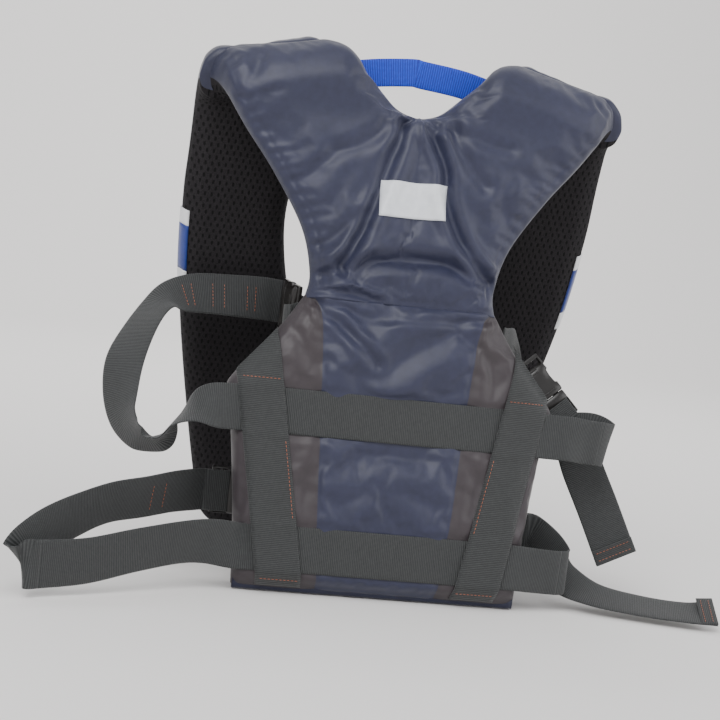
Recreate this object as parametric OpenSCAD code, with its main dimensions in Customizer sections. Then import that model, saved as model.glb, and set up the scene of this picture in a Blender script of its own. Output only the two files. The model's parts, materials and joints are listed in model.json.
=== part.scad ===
// Foam buoyancy vest: a racer-back back panel and a front panel joined over the shoulders,
// two waist belts with side-release buckles, a haul loop and a front zip.
// The back faces -Y, the front faces +Y, +X is to the right seen from behind.
// The origin is on the floor, at the middle of the back panel's hem.

/* [Back panel] */
// Half width of the hem
hem_half_w = 127; // [115:1:135]
// Half width at the narrow waist
waist_half_w = 84; // [78:1:88]
// Half width across the shoulders
shoulder_half_w = 188; // [180:1:194]
// Half width of the neck opening at the shoulders
neck_half_w = 84; // [76:1:90]
// Height of the waist crease along the panel
waist_s = 262; // [255:1:268]
// Thickness of the foam slabs
foam_t = 26; // [20:1:28]
// Thickness of the cover and lining fabrics, quilted
skin_t = 3; // [2:0.5:4]
// Lean of the back panel from vertical, degrees
back_lean = 8; // [5:1:10]

/* [Front panel] */
// Lean of the front panel from vertical, degrees
front_lean = 18; // [14:1:20]
// Half width of the front panel at the hem
front_hem_half_w = 142; // [130:1:150]
// Height of the bottom of the front neck opening along the panel
front_neck_s = 218; // [205:1:225]

/* [Webbing] */
// Width of the belts and bands
web_w = 40; // [38:1:40]
// Thickness of the belts and bands
web_t = 1.6; // [1.4:0.1:1.8]
// Height of the lower belt's centre line
lower_belt_s = 39; // [36:1:42]
// Height of the upper belt's centre line
upper_belt_s = 158; // [154:1:162]
// Width of the haul loop
haul_w = 25; // [20:1:26]

/* [Buckles] */
// Width across a buckle
buckle_w = 47; // [46:0.5:50]
// Thickness of a buckle
buckle_t = 12; // [11:0.5:13]
// Length of a buckle socket without its webbing bar
socket_l = 32; // [30:1:34]

/* [Hidden] */

navy = "#3c4462";
deep_navy = "#20263c";
taupe = "#665a5e";
web_grey = "#525756";
mesh_black = "#2c2826";
plastic = "#1c1a1a";
foam_col = "#c9c5b4";

half_t = foam_t / 2;
face = half_t + skin_t;          // from a panel's middle plane to its outer face
hem_h = 8;
belt_y = -(face + 0.2 + web_t / 2);
band_y = belt_y - web_t - 0.3;
pad_r = face + 25;               // outer radius of a shoulder pad
shoulder_drop = 31;              // the shoulder line falls this much from neck to tip
neck_top_s = 489;                // height of the shoulder line at the neck
top_s = neck_top_s - pad_r;      // where the back panel meets the shoulder pad, at the neck corner
shoulder_slope = atan(shoulder_drop / (shoulder_half_w - neck_half_w));
shoulder_gap = 20;               // clear fold line between a shoulder pad and the front panel
pad_span = 25;                   // from a panel's middle plane to the middle of a shoulder pad
pivot_y = 2 * pad_span + top_s * sin(back_lean);
pivot_z = 443;
front_len = pivot_z / cos(front_lean);
zip_top = 205;

// ---------- curves and frames ----------
function unit(v) = v / norm(v);

// a point of a smooth curve through p1 and p2
function knot(p0, p1, p2, p3, t) =
    0.5 * (2 * p1 + (p2 - p0) * t + (2 * p0 - 5 * p1 + 4 * p2 - p3) * t * t
        + (3 * p1 - p0 - 3 * p2 + p3) * t * t * t);

// n steps between each pair of points
function curve(pts, n) = [
    for (i = [0:len(pts) - 2], j = [0:n - 1])
        knot(pts[max(i - 1, 0)], pts[i], pts[i + 1], pts[min(i + 2, len(pts) - 1)], j / n),
    pts[len(pts) - 1]];

function flip(pts) = [for (i = [len(pts) - 1:-1:0]) [-pts[i][0], pts[i][1]]];

// a point of the leaning back panel: x, depth from its middle plane, height along it
function on_back(x, depth, s) = [
    x,
    depth * cos(back_lean) + s * sin(back_lean),
    s * cos(back_lean) - depth * sin(back_lean)];

module lean_back() {
    rotate([-back_lean, 0, 0]) children();
}

// the front panel's frame: its height 0 lies on the floor and it leans out at the bottom
module lean_front() {
    translate([0, pivot_y, pivot_z]) rotate([front_lean, 0, 0]) translate([0, 0, -front_len]) children();
}

// an outline drawn in x and height, as a plate between two depths
module plate(from, to) {
    translate([0, to, 0]) rotate([90, 0, 0]) linear_extrude(to - from) children();
}

module above_floor() {
    intersection() {
        children();
        translate([-300, -300, 0]) cube([600, 900, 600]);
    }
}

// a flat strap swept along a smooth path of [centre, width direction] pairs
module strap(path, w = web_w, t = web_t, steps = 4) {
    c = curve([for (p = path) p[0]], steps);
    d = curve([for (p = path) p[1]], steps);
    last = len(c) - 1;
    rings = [
        for (i = [0:last])
            let (along = unit(c[min(i + 1, last)] - c[max(i - 1, 0)]))
            let (across = unit(d[i] - (d[i] * along) * along))
            let (out = cross(along, across))
            each [
                c[i] + across * w / 2 + out * t / 2,
                c[i] + across * w / 2 - out * t / 2,
                c[i] - across * w / 2 - out * t / 2,
                c[i] - across * w / 2 + out * t / 2]];
    sides = [
        for (i = [0:last - 1], k = [0:3])
            let (a = 4 * i + k, b = 4 * i + (k + 1) % 4)
            each [[a, b, b + 4], [a, b + 4, a + 4]]];
    polyhedron(rings, concat(
        sides, [[0, 3, 2], [0, 2, 1], [4 * last, 4 * last + 1, 4 * last + 2],
            [4 * last, 4 * last + 2, 4 * last + 3]]));
}

// ---------- outlines, in x and height along the panel ----------
side_edge = curve([[hem_half_w, hem_h], [132, 70], [141, 145], [147, 172]], 3);
armhole_edge = curve([
    [143, 186], [107, 230], [waist_half_w + 2, waist_s], [waist_half_w, 282], [95, 321],
    [124, 368], [150, 405], [176, 445], [shoulder_half_w, neck_top_s - shoulder_drop]], 4);
neck_edge = curve([[neck_half_w, neck_top_s], [64, 476], [40, 454], [19, 435], [0, 429]], 4);
half_back = concat(side_edge, armhole_edge, neck_edge);

module whole_outline() {
    polygon(concat(half_back, flip([for (i = [0:len(half_back) - 2]) half_back[i]])));
}

// the line under the shoulder pads, falling outwards from the neck
under_pads = [
    [0, top_s + neck_half_w * tan(shoulder_slope)], [200, top_s - (200 - neck_half_w) * tan(shoulder_slope)],
    [200, 0]];

module back_outline() {
    intersection() {
        whole_outline();
        polygon(concat(under_pads, flip(under_pads)));
    }
}

centre_edge = [[53, hem_h], [58, 61], [65, 180], [72, 246], [waist_half_w + 1, waist_s]];

module back_below() {
    intersection() {
        back_outline();
        translate([-200, hem_h]) square([400, waist_s - hem_h]);
    }
}

module back_above() {
    intersection() {
        back_outline();
        translate([-200, waist_s]) square([400, 300]);
    }
}

module centre_outline() {
    polygon(concat(centre_edge, flip(centre_edge)));
}

front_outer_edge = curve([
    [front_hem_half_w - 30, hem_h], [front_hem_half_w - 8, 16], [front_hem_half_w + 4, 40],
    [165, 150], [182, 260], [189, 350], [shoulder_half_w, 412]], 4);
front_inner_edge = curve([
    [neck_half_w + 2, front_len - shoulder_gap + 4], [95, 380], [97, 330], [84, 265], [55, 228],
    [16, front_neck_s]], 4);

module front_outline() {
    polygon(concat([[16, hem_h]], front_outer_edge, front_inner_edge));
}

// the part of one front half between two heights
module front_slice(low, high) {
    intersection() {
        front_outline();
        translate([0, low]) square([200, high - low]);
    }
}

// ---------- back panel ----------
module back_foam_lower() {
    color(foam_col) lean_back() plate(-half_t, half_t) back_below();
}

module back_foam_yoke() {
    color(foam_col) lean_back() plate(-half_t, half_t) back_above();
}

module back_centre_panel() {
    color(navy) lean_back() plate(-face, -half_t) intersection() {
        back_below();
        centre_outline();
    }
}

module side_panel(side) {
    color(taupe) lean_back() plate(-face, -half_t) difference() {
        intersection() {
            back_below();
            translate([side < 0 ? -200 : 0, 0]) square([200, 300]);
        }
        centre_outline();
    }
}

module yoke_cover() {
    color(navy) lean_back() plate(-face, -half_t) back_above();
}

module back_lining() {
    color(mesh_black) lean_back() plate(half_t, face) difference() {
        back_outline();
        translate([-200, -1]) square([400, hem_h + 1]);
    }
}

module back_hem() {
    color(deep_navy) above_floor() lean_back() plate(-face, face)
        polygon([[-hem_half_w, -5], [hem_half_w, -5], [hem_half_w, hem_h], [-hem_half_w, hem_h]]);
}

module reflective_patch() {
    color("white") lean_back() plate(-face - 0.8, -face)
        translate([-33, 356]) square([66, 34]);
}

// a vertical band slants outwards from the hem and is sewn down between the two belt tunnels
band_low = [87, hem_h];
band_high = [121, 190];
band_tip = [101, 233];
tunnel = web_w / 2 + 2;

module band_outline() {
    across = web_w / 2;
    polygon([
        band_low - [across, 0], band_low + [across, 0], band_high + [across, 0], [138, 196],
        band_tip + [5, 0], band_tip - [4, 0], band_high - [across + 1, 0]]);
}

module band(side) {
    color(web_grey) lean_back() mirror([side < 0 ? 1 : 0, 0, 0]) {
        plate(band_y - web_t / 2, band_y + web_t / 2) band_outline();
        plate(band_y + web_t / 2, -face) difference() {
            band_outline();
            for (s = [lower_belt_s, upper_belt_s])
                translate([0, s - tunnel]) square([200, 2 * tunnel]);
        }
    }
}

// ---------- shoulders ----------
// half a ring over the shoulder line, falling outwards, cut to the panels' outlines
pad_centre = on_back(neck_half_w, 0, top_s) + [0, pad_span, 4];
neck_y = pad_centre[1] + 3;      // the neck notch is cut into the pads' back halves only

function half_ring(r) = [for (a = [90:11.25:270]) [r * cos(a), r * sin(a)]];

module shoulder_pad(side) {
    color(navy) mirror([side < 0 ? 1 : 0, 0, 0]) intersection() {
        translate(pad_centre) rotate([0, 90 + shoulder_slope, 0]) translate([0, 0, -80])
            linear_extrude(220) polygon(concat(half_ring(pad_r), [
                for (p = [16:-1:0]) half_ring(pad_r - 2 * face)[p]]));
        union() {
            plate(0, neck_y) intersection() {
                whole_outline();
                translate([0, 300]) square([shoulder_half_w, 300]);
            }
            plate(neck_y - 1, 160) translate([neck_half_w, 300])
                square([shoulder_half_w - neck_half_w, 300]);
        }
    }
}

haul_y = pad_centre[1] - 6;
haul_half = 72;
haul_path = [
    [[-haul_half, haul_y, 456], [-0.16, 0, 1]], [[-40, haul_y, 463], [-0.12, 0, 1]],
    [[0, haul_y, 468], [0, 0, 1]],
    [[40, haul_y, 463], [0.12, 0, 1]], [[haul_half, haul_y, 456], [0.16, 0, 1]]];

module haul_loop() {
    color("#2450d8") strap(haul_path, haul_w, 2);
}

// ---------- buckles ----------
// A buckle's own frame: X is the way the clip leaves, Z lies across the webbing, the socket's
// mouth is at 0. Each is placed by its mouth, its pull direction and its width direction.
bar_gap = 5;
bar_w = 4;
clip_base = 9;
clip_l = 25;
strap_lift = 3.2;
cavity = [socket_l - 5, buckle_t - 4.6, buckle_w - 9];

upper_left_at = [[-92, 98, 244], [-0.1, 0.99, 0.06], [0, 0, 1]];
upper_right_at = [[150, 62, 182], [0.66, -0.25, -0.71], [0.7, 0.1, 0.7]];
lower_left_at = [[-124, 46, 78], [-1, 0.06, -0.02], [0, -0.25, 0.97]];
lower_right_at = [[116, 44, 62], [1, 0.06, -0.08], [0, 0, 1]];

function buckle_x(at) = unit(at[1]);
function buckle_z(at) = unit(at[2] - (at[2] * buckle_x(at)) * buckle_x(at));
function buckle_y(at) = cross(buckle_z(at), buckle_x(at));
function in_buckle(at, x, y, z) = at[0] + x * buckle_x(at) + y * buckle_y(at) + z * buckle_z(at);

module place_buckle(at) {
    x = buckle_x(at);
    y = buckle_y(at);
    z = buckle_z(at);
    multmatrix([
        [x[0], y[0], z[0], at[0][0]],
        [x[1], y[1], z[1], at[0][1]],
        [x[2], y[2], z[2], at[0][2]],
        [0, 0, 0, 1]]) children();
}

module block(x0, x1, t, w) {
    translate([x0, -t / 2, -w / 2]) cube([x1 - x0, t, w]);
}

module socket(at) {
    color(plastic) place_buckle(at) difference() {
        union() {
            block(-socket_l, 0, buckle_t, buckle_w);
            block(-socket_l - bar_gap - bar_w, -socket_l, 4, buckle_w);
        }
        block(-cavity[0], 1, cavity[1], cavity[2]);
        block(-23, -9, 5, buckle_w + 2);
        block(-socket_l - bar_gap, -socket_l, 5, web_w + 1.5);
    }
}

module clip(at) {
    arm_w = 6;
    arm_z = cavity[2] / 2 - 1 - arm_w;
    color(plastic) place_buckle(at) {
        difference() {
            union() {
                block(0.4, clip_base, buckle_t - 1, buckle_w - 2);
                block(clip_base, clip_l, 4, buckle_w - 2);
            }
            block(clip_base + 1.5, clip_l - bar_w, 5, web_w + 1.5);
        }
        block(-21, 0.4, 5, 8);
        for (side = [-1, 1])
            translate([-20, -2.6, side > 0 ? arm_z : -arm_z - arm_w]) cube([20.4, 5.2, arm_w]);
    }
}

// ---------- belts and straps ----------
module webbing(path) {
    color(web_grey) strap(path);
}

// a width direction that lies on the back panel
belt_up = [0, 0.14, 1];

// the run of a belt over the back panel, from the left edge to the right one
function across_back(s, inner, outer) = [
    [on_back(-outer, belt_y - 0.8, s), belt_up], [on_back(-inner, belt_y, s), belt_up],
    [on_back(-inner / 2, belt_y, s), belt_up], [on_back(inner / 2, belt_y, s), belt_up],
    [on_back(inner, belt_y, s), belt_up], [on_back(outer, belt_y - 0.8, s), belt_up]];

upper_belt_path = concat(
    [[[-197, 10, 128], [0.05, 0.88, -0.4]], [[-189, 3, 142], [0.12, 0.99, 0]],
        [[-176, -1, 153], [0.16, 0.85, 0.5]], [[-160, 0, 158], [0.1, 0.5, 0.85]]],
    across_back(upper_belt_s, 132, 147),
    [[[162, 6, 158], [0.1, 0.1, 1]], [[180, 11, 156], [0.1, 0, 1]], [[193, 14, 155], [0.14, 0, 1]]]);

lower_belt_path = concat(
    [[[-290, -84, 28], [-0.42, -0.2, 0.88]], [[-253, -68, 30], [-0.3, -0.26, 0.92]],
        [[-213, -50, 38], [-0.2, -0.3, 0.93]], [[-175, -32, 44], [-0.1, -0.3, 0.95]],
        [[-151, -19, 44], [0, -0.15, 0.99]]],
    across_back(lower_belt_s, 116, 131),
    [[[150, -4, 38], [0, 0, 1]], [[166, 0, 37], [0, 0, 1]]]);

// the last run of a strap into its clip, over the clip's webbing bar
function into_clip(at, lift, lead = 9) = [
    for (x = [clip_l + lead, clip_l + 1, clip_l - 6]) [in_buckle(at, x, lift, 0), at[2]]];

// each moving strap starts just clear of its belt's end and runs round the loop to its clip
upper_strap_left_path = concat(
    [[[-198.6, 11.2, 126.4], [0.02, 0.87, -0.45]], [[-206, 18, 121], [-0.13, 0.83, -0.54]],
        [[-221, 26, 123], [-0.32, 0.82, -0.48]], [[-233, 37, 137], [-0.52, 0.77, -0.36]],
        [[-237, 49, 160], [-0.75, 0.6, -0.28]], [[-235, 63, 186], [-0.85, 0.5, -0.18]],
        [[-224, 82, 213], [-0.74, 0.65, -0.15]], [[-211, 98, 232], [-0.4, 0.85, 0.2]],
        [[-197, 106, 241], [0.05, 0.75, 0.65]], [[-174, 112, 246], [0, 0.5, 0.86]],
        [[-140, 117, 247], [0, 0.35, 0.93]], [[-114, 122, 247], [0, 0.15, 1]],
        [[-101, 126, 246], [0, 0.05, 1]]],
    into_clip(upper_left_at, -strap_lift, 4));

upper_strap_right_path = concat(
    [[[194.6, 14.6, 155], [0.15, 0, 1]], [[203, 21, 154], [0.2, 0.05, 1]],
        [[202, 30, 155], [0.3, 0.05, 0.95]], [[192, 42, 160], [0.5, 0.08, 0.85]]],
    into_clip(upper_right_at, -strap_lift));

lower_strap_left_path = concat(
    [[[-291.5, -84.6, 28], [-0.43, -0.18, 0.88]], [[-300, -88, 28.5], [-0.5, -0.05, 0.86]],
        [[-304.6, -86.6, 29], [-0.5, -0.05, 0.86]], [[-304.5, -82.7, 32], [-0.5, -0.05, 0.86]],
        [[-300, -77, 40], [-0.52, -0.2, 0.83]], [[-285, -60, 52], [-0.42, -0.4, 0.81]],
        [[-262, -38, 62], [-0.35, -0.5, 0.79]], [[-237, -18, 70], [-0.2, -0.48, 0.85]],
        [[-208, 4, 73], [-0.12, -0.4, 0.9]], [[-181, 27, 76], [-0.05, -0.3, 0.95]]],
    into_clip(lower_left_at, strap_lift));

lower_strap_right_path = concat(
    [[[167.6, 0.2, 37], [0, 0, 1]], [[175, 6, 37], [0, 0, 1]], [[175, 18, 38], [0, 0, 1]],
        [[166, 32, 48], [0, 0, 1]]],
    into_clip(lower_right_at, -strap_lift));

// free tails come back out over the clip's webbing bar
function out_of_clip(at, lift) = [
    for (x = [clip_l - 6, clip_l + 1, clip_l + 9]) [in_buckle(at, x, lift, 0), at[2]]];

upper_tail_path = concat(
    out_of_clip(upper_right_at, strap_lift),
    [[[188, 62, 142], [0.95, 0, 0.3]], [[196, 60, 124], [1, 0, 0.1]], [[215, 56, 88], [0.99, 0, 0.14]],
        [[236, 50, 45], [0.95, 0, 0.32]]]);

lower_tail_path = concat(
    out_of_clip(lower_right_at, strap_lift),
    [[[164, 46, 45], [0, 0.3, 0.9]], [[181, 34, 26], [0.15, 0.75, 0.65]],
        [[208, 18, 16], [0.3, 0.9, 0.35]], [[250, 4, 12], [0.3, 0.92, 0.25]],
        [[290, -8, 12], [0.3, 0.92, 0.25]], [[313, -13, 15], [0.2, 0.92, 0.38]]]);

// short anchor straps between the panel and the sockets' webbing bars
function into_socket(at, lift) = [
    for (x = [-9, -3, 1.5]) [in_buckle(at, x - socket_l - bar_gap, lift, 0), at[2]]];

anchor_w = 22;
anchor_gap = 1.2;                // from the lining to the middle of an anchor strap

module upper_anchor(side, at, lift) {
    tip = band_tip[0] + 11;
    color(web_grey) strap(concat(
        [[on_back(side * (tip - 1), belt_y, 241), [0, 0, 1]], [on_back(side * (tip + 2), -4, 241), [0, 0, 1]],
            [on_back(side * (tip + 1), 20, 242), [0, 0, 1]]],
        into_socket(at, lift)), anchor_w);
}

module lower_anchor(side, at, lift) {
    s = at[0][2] + 2;
    color(web_grey) strap(concat(
        [[on_back(side * 24, face + anchor_gap, s), belt_up],
            [on_back(side * 38, face + anchor_gap, s), belt_up],
            [on_back(side * 48, face + anchor_gap + 2, s), belt_up]],
        into_socket(at, lift)));
}

// ---------- front panel ----------
module front_half(side) {
    lean_front() mirror([side < 0 ? 1 : 0, 0, 0]) children();
}

module front_foam(side) {
    color(foam_col) front_half(side) plate(-half_t, half_t) front_outline();
}

module front_cover(side) {
    color(navy) front_half(side) plate(half_t, face) front_outline();
}

module front_lining(side) {
    color(mesh_black) front_half(side) plate(-face, -half_t) front_outline();
}

module front_hem(side) {
    color(deep_navy) above_floor() front_half(side) plate(-face, face)
        translate([16, -8]) square([front_hem_half_w - 46, hem_h + 8]);
}

module chest_stripe(side, bars, tint) {
    color(tint) front_half(side) plate(face, face + 0.8) {
        for (bar = bars)
            front_slice(bar[0], bar[1]);
    }
}

white_bars = [[262, 280], [325.2, 340]];
blue_bars = [[280.2, 325]];

// ---------- zip ----------
tape_in = 4;
row_gap = 0.8;

module zip_tape(side) {
    color(deep_navy) front_half(side) plate(half_t - 5, half_t - 3.8)
        translate([tape_in, 12]) square([15.9 - tape_in, zip_top - 6]);
}

module zip_teeth(side) {
    color(plastic) front_half(side) for (s = [14:4:zip_top - 4])
        plate(half_t - 6.2, half_t - 2.6) translate([row_gap, s]) square([tape_in - row_gap, 2.6]);
    color(plastic) front_half(side)
        plate(half_t - 5, half_t - 3.8) translate([tape_in - 1, 14]) square([1, zip_top - 16]);
}

module zip_stops() {
    color(plastic) for (side = [-1, 1])
        front_half(side) plate(half_t - 6, half_t - 5.05)
            translate([tape_in + 0.2, zip_top - 4]) square([5, 6]);
}

slider_s = zip_top - 16;

module zip_slider() {
    color(plastic) lean_front() {
        for (depth = [half_t - 8.4, half_t - 2.2])
            plate(depth, depth + 1.6) translate([-6, slider_s]) square([12, 15]);
        plate(half_t - 8.4, half_t - 0.6) translate([-0.5, slider_s + 9]) square([1, 6]);
        for (x = [-3.4, 2])
            plate(half_t - 0.6, half_t + 4.4) translate([x, slider_s + 9]) square([1.4, 5]);
        translate([-4, half_t + 3, slider_s + 11.5]) rotate([0, 90, 0]) cylinder(h = 8, r = 0.9, $fn = 24);
    }
}

module zip_pull() {
    color("#2450d8") lean_front() difference() {
        union() {
            translate([-1.7, half_t + 3, slider_s + 11.5]) rotate([0, 90, 0])
                cylinder(h = 3.4, r = 2.2, $fn = 32);
            plate(half_t + 2.2, half_t + 3.8) translate([-1.7, slider_s - 8]) square([3.4, 18]);
            plate(half_t + 2, half_t + 4) translate([-5, slider_s - 24]) square([10, 18]);
        }
        translate([-4, half_t + 3, slider_s + 11.5]) rotate([0, 90, 0]) cylinder(h = 8, r = 1.05, $fn = 24);
    }
}

back_foam_lower();
back_foam_yoke();
back_centre_panel();
side_panel(-1);  // side_panel_left
side_panel(1);  // side_panel_right
yoke_cover();
back_lining();
back_hem();
reflective_patch();
band(-1);  // band_left
band(1);  // band_right
webbing(upper_belt_path);  // upper_belt
webbing(lower_belt_path);  // lower_belt
shoulder_pad(-1);  // shoulder_pad_left
shoulder_pad(1);  // shoulder_pad_right
haul_loop();
upper_anchor(-1, upper_left_at, -strap_lift);  // upper_anchor_left
upper_anchor(1, upper_right_at, strap_lift);  // upper_anchor_right
lower_anchor(-1, lower_left_at, strap_lift);  // lower_anchor_left
lower_anchor(1, lower_right_at, -strap_lift);  // lower_anchor_right
socket(upper_left_at);  // upper_socket_left
socket(upper_right_at);  // upper_socket_right
socket(lower_left_at);  // lower_socket_left
socket(lower_right_at);  // lower_socket_right
clip(upper_left_at);  // upper_clip_left
clip(upper_right_at);  // upper_clip_right
clip(lower_left_at);  // lower_clip_left
clip(lower_right_at);  // lower_clip_right
webbing(upper_strap_left_path);  // upper_strap_left
webbing(upper_strap_right_path);  // upper_strap_right
webbing(lower_strap_left_path);  // lower_strap_left
webbing(lower_strap_right_path);  // lower_strap_right
webbing(upper_tail_path);  // upper_tail_right
webbing(lower_tail_path);  // lower_tail_right
front_foam(-1);  // front_foam_left
front_foam(1);  // front_foam_right
front_cover(-1);  // front_cover_left
front_cover(1);  // front_cover_right
front_lining(-1);  // front_lining_left
front_lining(1);  // front_lining_right
front_hem(-1);  // front_hem_left
front_hem(1);  // front_hem_right
chest_stripe(-1, white_bars, "white");  // chest_stripe_white_left
chest_stripe(1, white_bars, "white");  // chest_stripe_white_right
chest_stripe(-1, blue_bars, "#2450a8");  // chest_stripe_blue_left
chest_stripe(1, blue_bars, "#2450a8");  // chest_stripe_blue_right
zip_tape(-1);  // zip_tape_left
zip_tape(1);  // zip_tape_right
zip_teeth(-1);  // zip_teeth_left
zip_teeth(1);  // zip_teeth_right
zip_stops();
zip_slider();
zip_pull();
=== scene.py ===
"""A foam buoyancy vest standing on its hems, seen from behind."""

import json
import math

import bmesh
import bpy
import numpy as np
from mathutils import Matrix, Vector
from mathutils.bvhtree import BVHTree


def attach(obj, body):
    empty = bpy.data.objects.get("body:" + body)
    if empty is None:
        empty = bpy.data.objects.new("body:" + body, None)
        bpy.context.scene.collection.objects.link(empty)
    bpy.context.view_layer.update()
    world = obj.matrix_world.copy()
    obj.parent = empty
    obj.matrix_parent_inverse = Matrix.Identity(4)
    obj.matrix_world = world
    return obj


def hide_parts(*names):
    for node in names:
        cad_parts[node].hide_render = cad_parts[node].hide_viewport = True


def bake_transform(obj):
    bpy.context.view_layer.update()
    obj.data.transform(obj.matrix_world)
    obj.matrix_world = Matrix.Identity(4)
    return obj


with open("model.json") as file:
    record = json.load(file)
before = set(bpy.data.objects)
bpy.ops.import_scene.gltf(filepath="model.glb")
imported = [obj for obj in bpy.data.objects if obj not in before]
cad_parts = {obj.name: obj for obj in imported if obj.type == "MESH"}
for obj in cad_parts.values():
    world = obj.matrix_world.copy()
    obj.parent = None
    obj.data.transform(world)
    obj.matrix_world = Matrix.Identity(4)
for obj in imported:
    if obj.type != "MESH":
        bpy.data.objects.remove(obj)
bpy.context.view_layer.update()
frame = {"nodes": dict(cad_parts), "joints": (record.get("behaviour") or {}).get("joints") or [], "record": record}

# ---------------------------------------------------------------- sizes, in millimetres
MM = 0.001
BACK_LEAN = math.radians(8)
FRONT_LEAN = math.radians(18)
HEM_TOP = 8
WAIST = 262
PIVOT = [1000 * c for c in next(j for j in frame["joints"] if j["name"] == "front_swing")["pos_m"]]
# the back and front planes meet at an apex above the shoulders
APEX_BACK = (
    PIVOT[1] * math.cos(FRONT_LEAN) + PIVOT[2] * math.sin(FRONT_LEAN)
) / math.sin(BACK_LEAN + FRONT_LEAN)
APEX_FRONT = APEX_BACK * math.cos(BACK_LEAN) / math.cos(FRONT_LEAN)
HALF_ANGLE = (BACK_LEAN + FRONT_LEAN) / 2
TURN = math.pi - 2 * HALF_ANGLE
NECK_HALF = 84
SHOULDER_HALF = 196
SHOULDER_START = 452     # where the fold over the shoulder starts at the neck, along the back
SHOULDER_FALL = 0.298    # how fast the shoulder line falls towards its tip
SEAM_SHARE = 0.42        # the shoulder seam's place in the fold
PAD_HALF = 16.0          # from the middle of a pad to its face
PUFF = 2.0               # how much further the lower back bulges
SHOULDER_PUFF = 7        # how much thicker the pads are over the shoulders
WEB_WIDTH = 40
WEB_THICK = 1.6
LOWER_BELT = 39
UPPER_BELT = 158
STRIPE_HEIGHTS = {"white": [(262, 280), (325, 340)], "blue": [(280, 325)]}
MAX_PUFF = 5             # the furthest the settling fabric may move
LAP = 4                  # how far the yoke laps over the lower back at the waist
SEAM_LAP = 3             # how far each pad runs past the shoulder seam


def smooth(t):
    t = np.clip(t, 0, 1)
    return t * t * (3 - 2 * t)


def bump(x, width):
    """1 at x = 0, falling smoothly to 0 within a few widths."""
    return np.exp(-((x / width) ** 2))


def curve_through(points, steps):
    """Catmull-Rom points through a list of points, as an array."""
    p = np.array(points, float)
    out = []
    for i in range(len(p) - 1):
        a, b, c, d = p[max(i - 1, 0)], p[i], p[i + 1], p[min(i + 2, len(p) - 1)]
        for k in range(steps):
            t = k / steps
            out.append(
                0.5 * (2 * b + (c - a) * t + (2 * a - 5 * b + 4 * c - d) * t * t
                       + (3 * b - a - 3 * c + d) * t ** 3))
    out.append(p[-1])
    return np.array(out)


# ---------------------------------------------------------------- the vest's pattern
def fold(x):
    """For each x: where the shoulder fold starts along the back, its radius and its length."""
    start = SHOULDER_START - (np.abs(x) - NECK_HALF) * SHOULDER_FALL
    radius = (APEX_BACK - start) * math.tan(HALF_ANGLE)
    return start, radius, radius * TURN


def wrap(x, path, out):
    """A point of the vest, in metres. path runs up the back, over the shoulder and down the
    front, and out is the distance outwards from the middle of the foam."""
    x, path, out = (np.asarray(v, float) for v in (x, path, out))
    start, radius, length = fold(x)
    turned = np.clip((path - start) / radius, 0, TURN)
    angle = math.pi - BACK_LEAN - turned
    below = np.minimum(path - start, 0)
    after = np.maximum(path - start - length, 0)
    centre_y = start * math.sin(BACK_LEAN) + radius * math.cos(BACK_LEAN)
    centre_z = start * math.cos(BACK_LEAN) - radius * math.sin(BACK_LEAN)
    y = centre_y + (radius + out) * np.cos(angle)
    y = y + below * math.sin(BACK_LEAN) + after * math.sin(FRONT_LEAN)
    z = centre_z + (radius + out) * np.sin(angle)
    z = z + below * math.cos(BACK_LEAN) - after * math.cos(FRONT_LEAN)
    return np.stack(np.broadcast_arrays(x, y, z), -1) * MM


def front_path(x, height):
    """The path length of a point of the front panel from its height along the panel."""
    start, _, length = fold(x)
    return start + length + (APEX_FRONT - (APEX_BACK - start)) - height


SIDE_EDGE = [(127, 0), (132, 70), (141, 145), (147, 172), (143, 186), (107, 230), (86, WAIST)]
ARM_EDGE = [(86, WAIST), (84, 282), (95, 321), (125, 368), (154, 405), (181, 445), (195, 470), (197, 520)]
NECK_EDGE = [(0, 429), (19, 435), (40, 454), (64, 476), (84, 489), (88, 520)]
CENTRE_EDGE = [(52, 0), (58, 61), (65, 180), (72, 246), (84, WAIST)]
FRONT_OUTER = [(118, 4), (134, 14), (146, 40), (170, 150), (189, 260), (196, 350), (196, 412), (197, 530)]
# the knots close up below the neckline, so that the curve doesn't overshoot its corner
FRONT_INNER = [
    (14, 4), (14, 75), (14, 140), (14, 180), (14, 200), (15, 210), (24, 216), (40, 223),
    (66, 240), (84, 268), (97, 330), (95, 380), (85, 430), (84, 530)]

# fabric folds on the back: points of the fold, its depth and its width
YOKE_FOLDS = [
    ([(-9, 427), (-16, 406), (-30, 367), (-47, 313), (-60, 291)], 6.0, 5.0),
    ([(-14, 420), (-27, 394), (-50, 350)], 2.2, 5.0),
    ([(16, 425), (15, 408), (25, 384), (29, 359), (37, 337), (49, 316), (66, 298), (84, 285)], 5.5, 4.5),
    ([(25, 429), (35, 410), (50, 387), (62, 373)], 3.5, 6.0),
    ([(-22, 418), (-46, 402), (-74, 386)], 2.5, 6.0),
    ([(30, 420), (58, 412), (84, 408)], 1.8, 5.0),
    ([(-76, 277), (-45, 290), (-11, 299), (22, 301), (54, 294), (80, 282)], 5.5, 6.5),
    ([(-80, 265), (-48, 266), (-22, 261)], 3.0, 3.5),
    ([(-84, 301), (-63, 318), (-50, 337)], 1.8, 5.0),
    ([(-110, 352), (-90, 372), (-78, 392)], 1.4, 8.0),
    ([(-150, 440), (-128, 400), (-112, 385)], 1.6, 9.0),
    ([(96, 330), (84, 352), (80, 372)], 1.6, 7.0),
    ([(130, 400), (112, 388), (90, 384)], 1.5, 7.0),
]
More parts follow.
